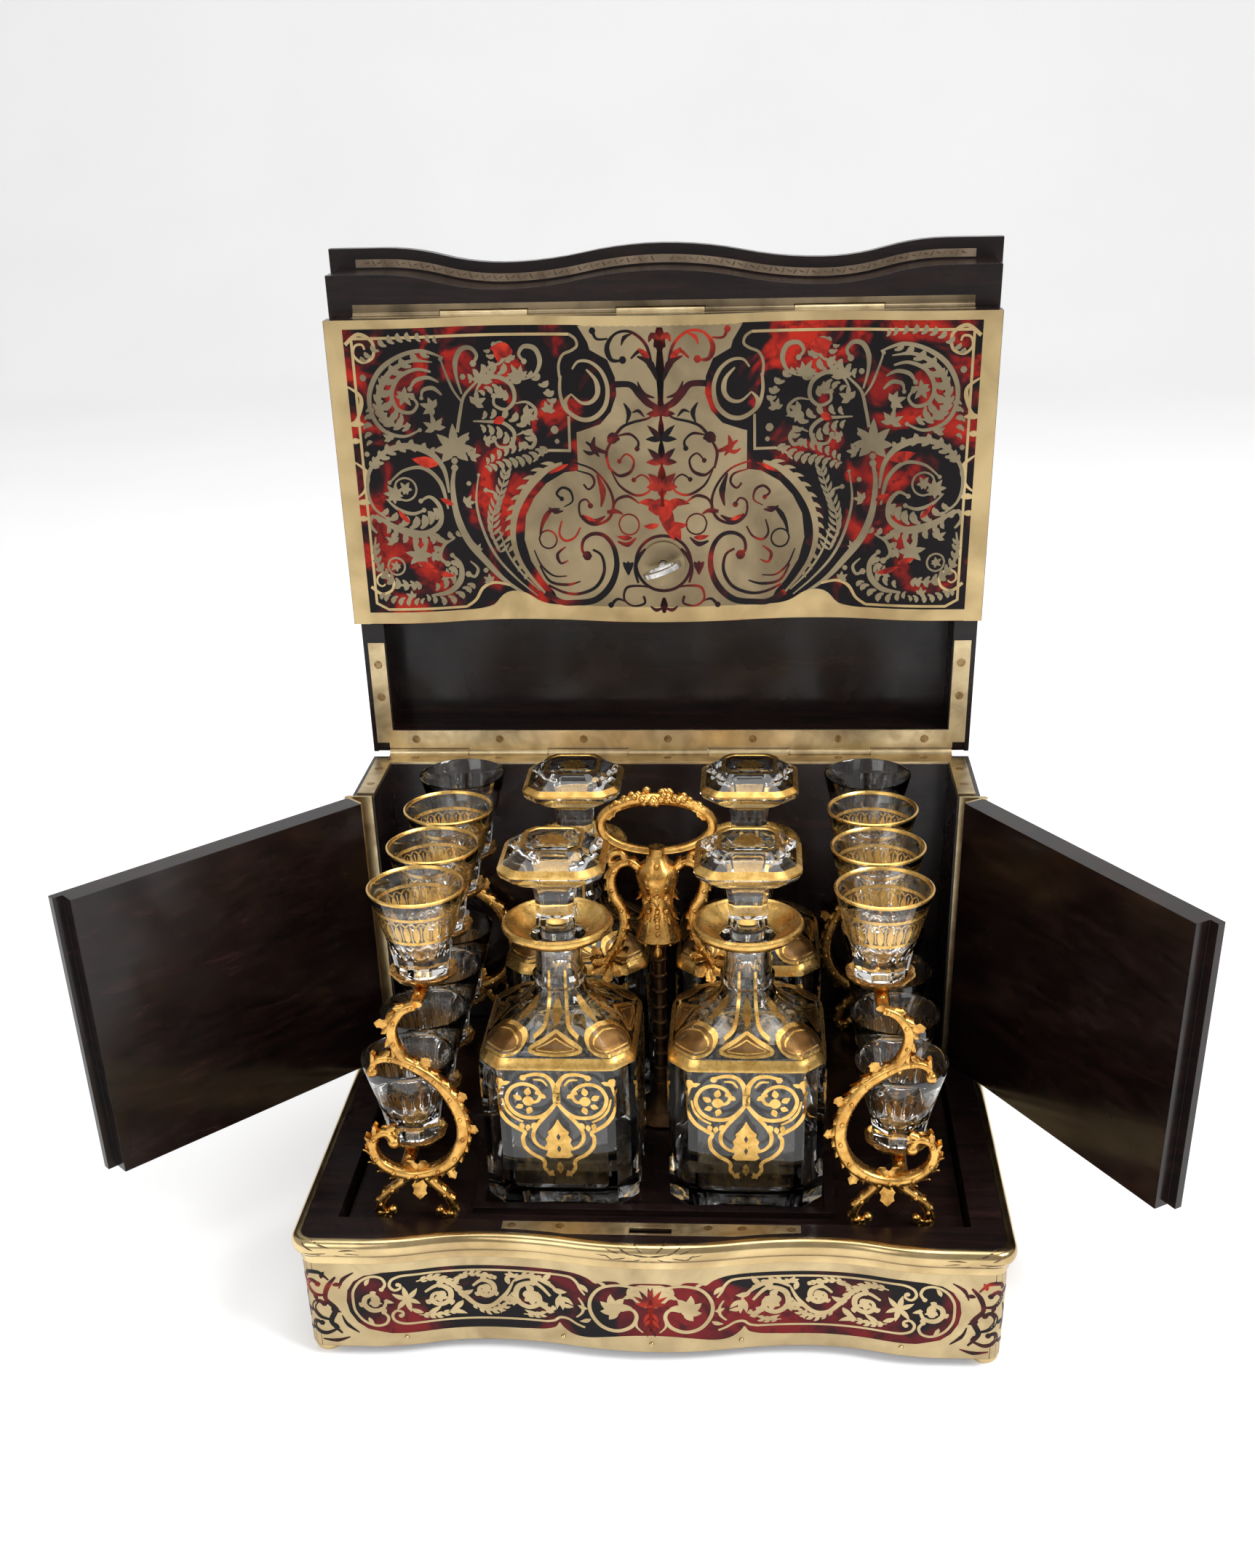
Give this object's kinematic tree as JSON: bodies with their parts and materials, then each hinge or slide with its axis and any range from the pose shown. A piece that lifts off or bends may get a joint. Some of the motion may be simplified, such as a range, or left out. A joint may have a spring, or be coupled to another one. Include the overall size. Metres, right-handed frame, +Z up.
{
  "type": "liqueur cabinet",
  "caption": "Open serpentine-fronted box with a hinged lid, folding front panel and side doors, holding a lift-out tray of square decanters and small glasses on scrolled gilt stands.",
  "frame": {"origin": "centre of the base's footprint, on the surface it stands on", "axes": "+Z up, +Y to the back, the serpentine front faces -Y, +X to the right seen from the front"},
  "size_m": [0.5274, 0.281, 0.474],
  "materials": {
    "rosewood": "French-polished dark rosewood",
    "boulle_marquetry": "polished red tortoiseshell veneer inlaid with brass",
    "moulding_brass": "polished brass",
    "hinge_brass": "worn satin brass",
    "gilt_bronze": "gilt bronze",
    "key_steel": "polished steel",
    "decanter_crystal": "clear cut crystal with gilding",
    "glass_crystal": "clear crystal with gilding"
  },
  "bodies": {
    "cabinet": {"base_frame": "rosewood", "base_deck": "rosewood", "base_rim": "rosewood", "base_veneer": "boulle_marquetry", "base_roll": "moulding_brass", "feet": "moulding_brass", "back_panel": "rosewood", "left_stub": "rosewood", "right_stub": "rosewood", "strike_plate": "hinge_brass", "cabinet_hinge_leaf": "hinge_brass", "lid_hinge_pin": "hinge_brass", "left_door_hinge_fixed": "hinge_brass", "right_door_hinge_fixed": "hinge_brass", "cabinet_screws": "hinge_brass"},
    "lid": {"lid_frame": "rosewood", "lid_board": "rosewood", "lid_hinge_leaf": "hinge_brass", "lid_front_hinge_leaf": "hinge_brass", "lid_screws": "hinge_brass"},
    "front_panel": {"front_panel_board": "rosewood", "front_panel_marquetry": "boulle_marquetry", "front_panel_hinge_leaf": "hinge_brass", "escutcheon": "moulding_brass", "lock_case": "hinge_brass"},
    "lock_bolt": {"lock_bolt": "hinge_brass"},
    "key": {"key": "key_steel"},
    "left_door": {"left_door": "rosewood", "left_door_leaf": "hinge_brass"},
    "right_door": {"right_door": "rosewood", "right_door_leaf": "hinge_brass"},
    "tray": {"tray_board": "rosewood", "tray_handle": "gilt_bronze", "left_glass_stand": "gilt_bronze", "right_glass_stand": "gilt_bronze"},
    "decanter_front_left": {"decanter_front_left": "decanter_crystal"},
    "stopper_front_left": {"stopper_front_left": "decanter_crystal"},
    "decanter_front_right": {"decanter_front_right": "decanter_crystal"},
    "stopper_front_right": {"stopper_front_right": "decanter_crystal"},
    "decanter_back_left": {"decanter_back_left": "decanter_crystal"},
    "stopper_back_left": {"stopper_back_left": "decanter_crystal"},
    "decanter_back_right": {"decanter_back_right": "decanter_crystal"},
    "stopper_back_right": {"stopper_back_right": "decanter_crystal"},
    "glass_left_upper_1": {"glass_left_upper_1": "glass_crystal"},
    "glass_left_upper_2": {"glass_left_upper_2": "glass_crystal"},
    "glass_left_upper_3": {"glass_left_upper_3": "glass_crystal"},
    "glass_left_upper_4": {"glass_left_upper_4": "glass_crystal"},
    "glass_left_lower_1": {"glass_left_lower_1": "glass_crystal"},
    "glass_left_lower_2": {"glass_left_lower_2": "glass_crystal"},
    "glass_left_lower_3": {"glass_left_lower_3": "glass_crystal"},
    "glass_left_lower_4": {"glass_left_lower_4": "glass_crystal"},
    "glass_right_upper_1": {"glass_right_upper_1": "glass_crystal"},
    "glass_right_upper_2": {"glass_right_upper_2": "glass_crystal"},
    "glass_right_upper_3": {"glass_right_upper_3": "glass_crystal"},
    "glass_right_upper_4": {"glass_right_upper_4": "glass_crystal"},
    "glass_right_lower_1": {"glass_right_lower_1": "glass_crystal"},
    "glass_right_lower_2": {"glass_right_lower_2": "glass_crystal"},
    "glass_right_lower_3": {"glass_right_lower_3": "glass_crystal"},
    "glass_right_lower_4": {"glass_right_lower_4": "glass_crystal"}
  },
  "joints": [
    {"name": "lid_swing", "type": "hinge", "parent": "cabinet", "child": "lid", "pos_m": [0, 0.121, 0.221], "axis": [-1, 0, 0], "range_deg": [-58, 0]},
    {"name": "front_panel_swing", "type": "hinge", "parent": "lid", "child": "front_panel", "pos_m": [0, 0.121, 0.446], "axis": [1, 0, 0], "range_deg": [-90, 0]},
    {"name": "left_door_swing", "type": "hinge", "parent": "cabinet", "child": "left_door", "pos_m": [-0.163, 0.058, 0.145], "axis": [0, 0, -1], "range_deg": [-43.6, 66]},
    {"name": "right_door_swing", "type": "hinge", "parent": "cabinet", "child": "right_door", "pos_m": [0.163, 0.058, 0.145], "axis": [0, 0, 1], "range_deg": [-31.9, 78]},
    {"name": "key_turn", "type": "hinge", "parent": "front_panel", "child": "key", "pos_m": [0, 0.107, 0.328], "axis": [0, 1, 0], "range_deg": [-90, 0]},
    {"name": "bolt_slide", "type": "slide", "parent": "front_panel", "child": "lock_bolt", "axis": [0, 0, 1], "range_m": [-0.008, 0]},
    {"name": "tray_lift", "type": "slide", "parent": "cabinet", "child": "tray", "axis": [0, 0, 1], "range_m": [0, 0.17]},
    {"name": "decanter_front_left_lift", "type": "slide", "parent": "tray", "child": "decanter_front_left", "axis": [0, 0, 1], "range_m": [0, 0.12]},
    {"name": "stopper_front_left_lift", "type": "slide", "parent": "decanter_front_left", "child": "stopper_front_left", "axis": [0, 0, 1], "range_m": [0, 0.06]},
    {"name": "decanter_front_right_lift", "type": "slide", "parent": "tray", "child": "decanter_front_right", "axis": [0, 0, 1], "range_m": [0, 0.12]},
    {"name": "stopper_front_right_lift", "type": "slide", "parent": "decanter_front_right", "child": "stopper_front_right", "axis": [0, 0, 1], "range_m": [0, 0.06]},
    {"name": "decanter_back_left_lift", "type": "slide", "parent": "tray", "child": "decanter_back_left", "axis": [0, 0, 1], "range_m": [0, 0.12]},
    {"name": "stopper_back_left_lift", "type": "slide", "parent": "decanter_back_left", "child": "stopper_back_left", "axis": [0, 0, 1], "range_m": [0, 0.06]},
    {"name": "decanter_back_right_lift", "type": "slide", "parent": "tray", "child": "decanter_back_right", "axis": [0, 0, 1], "range_m": [0, 0.12]},
    {"name": "stopper_back_right_lift", "type": "slide", "parent": "decanter_back_right", "child": "stopper_back_right", "axis": [0, 0, 1], "range_m": [0, 0.06]},
    {"name": "glass_left_upper_1_lift", "type": "slide", "parent": "tray", "child": "glass_left_upper_1", "axis": [0, 0, 1], "range_m": [0, 0.06]},
    {"name": "glass_left_upper_2_lift", "type": "slide", "parent": "tray", "child": "glass_left_upper_2", "axis": [0, 0, 1], "range_m": [0, 0.06]},
    {"name": "glass_left_upper_3_lift", "type": "slide", "parent": "tray", "child": "glass_left_upper_3", "axis": [0, 0, 1], "range_m": [0, 0.06]},
    {"name": "glass_left_upper_4_lift", "type": "slide", "parent": "tray", "child": "glass_left_upper_4", "axis": [0, 0, 1], "range_m": [0, 0.06]},
    {"name": "glass_left_lower_1_lift", "type": "slide", "parent": "tray", "child": "glass_left_lower_1", "axis": [0, 0, 1], "range_m": [0, 0.035]},
    {"name": "glass_left_lower_2_lift", "type": "slide", "parent": "tray", "child": "glass_left_lower_2", "axis": [0, 0, 1], "range_m": [0, 0.035]},
    {"name": "glass_left_lower_3_lift", "type": "slide", "parent": "tray", "child": "glass_left_lower_3", "axis": [0, 0, 1], "range_m": [0, 0.035]},
    {"name": "glass_left_lower_4_lift", "type": "slide", "parent": "tray", "child": "glass_left_lower_4", "axis": [0, 0, 1], "range_m": [0, 0.035]},
    {"name": "glass_right_upper_1_lift", "type": "slide", "parent": "tray", "child": "glass_right_upper_1", "axis": [0, 0, 1], "range_m": [0, 0.06]},
    {"name": "glass_right_upper_2_lift", "type": "slide", "parent": "tray", "child": "glass_right_upper_2", "axis": [0, 0, 1], "range_m": [0, 0.06]},
    {"name": "glass_right_upper_3_lift", "type": "slide", "parent": "tray", "child": "glass_right_upper_3", "axis": [0, 0, 1], "range_m": [0, 0.06]},
    {"name": "glass_right_upper_4_lift", "type": "slide", "parent": "tray", "child": "glass_right_upper_4", "axis": [0, 0, 1], "range_m": [0, 0.06]},
    {"name": "glass_right_lower_1_lift", "type": "slide", "parent": "tray", "child": "glass_right_lower_1", "axis": [0, 0, 1], "range_m": [0, 0.035]},
    {"name": "glass_right_lower_2_lift", "type": "slide", "parent": "tray", "child": "glass_right_lower_2", "axis": [0, 0, 1], "range_m": [0, 0.035]},
    {"name": "glass_right_lower_3_lift", "type": "slide", "parent": "tray", "child": "glass_right_lower_3", "axis": [0, 0, 1], "range_m": [0, 0.035]},
    {"name": "glass_right_lower_4_lift", "type": "slide", "parent": "tray", "child": "glass_right_lower_4", "axis": [0, 0, 1], "range_m": [0, 0.035]}
  ],
  "couplings": [
    {"joint": "key_turn", "follows": "bolt_slide", "rad_per_m": 196.35}
  ]
}
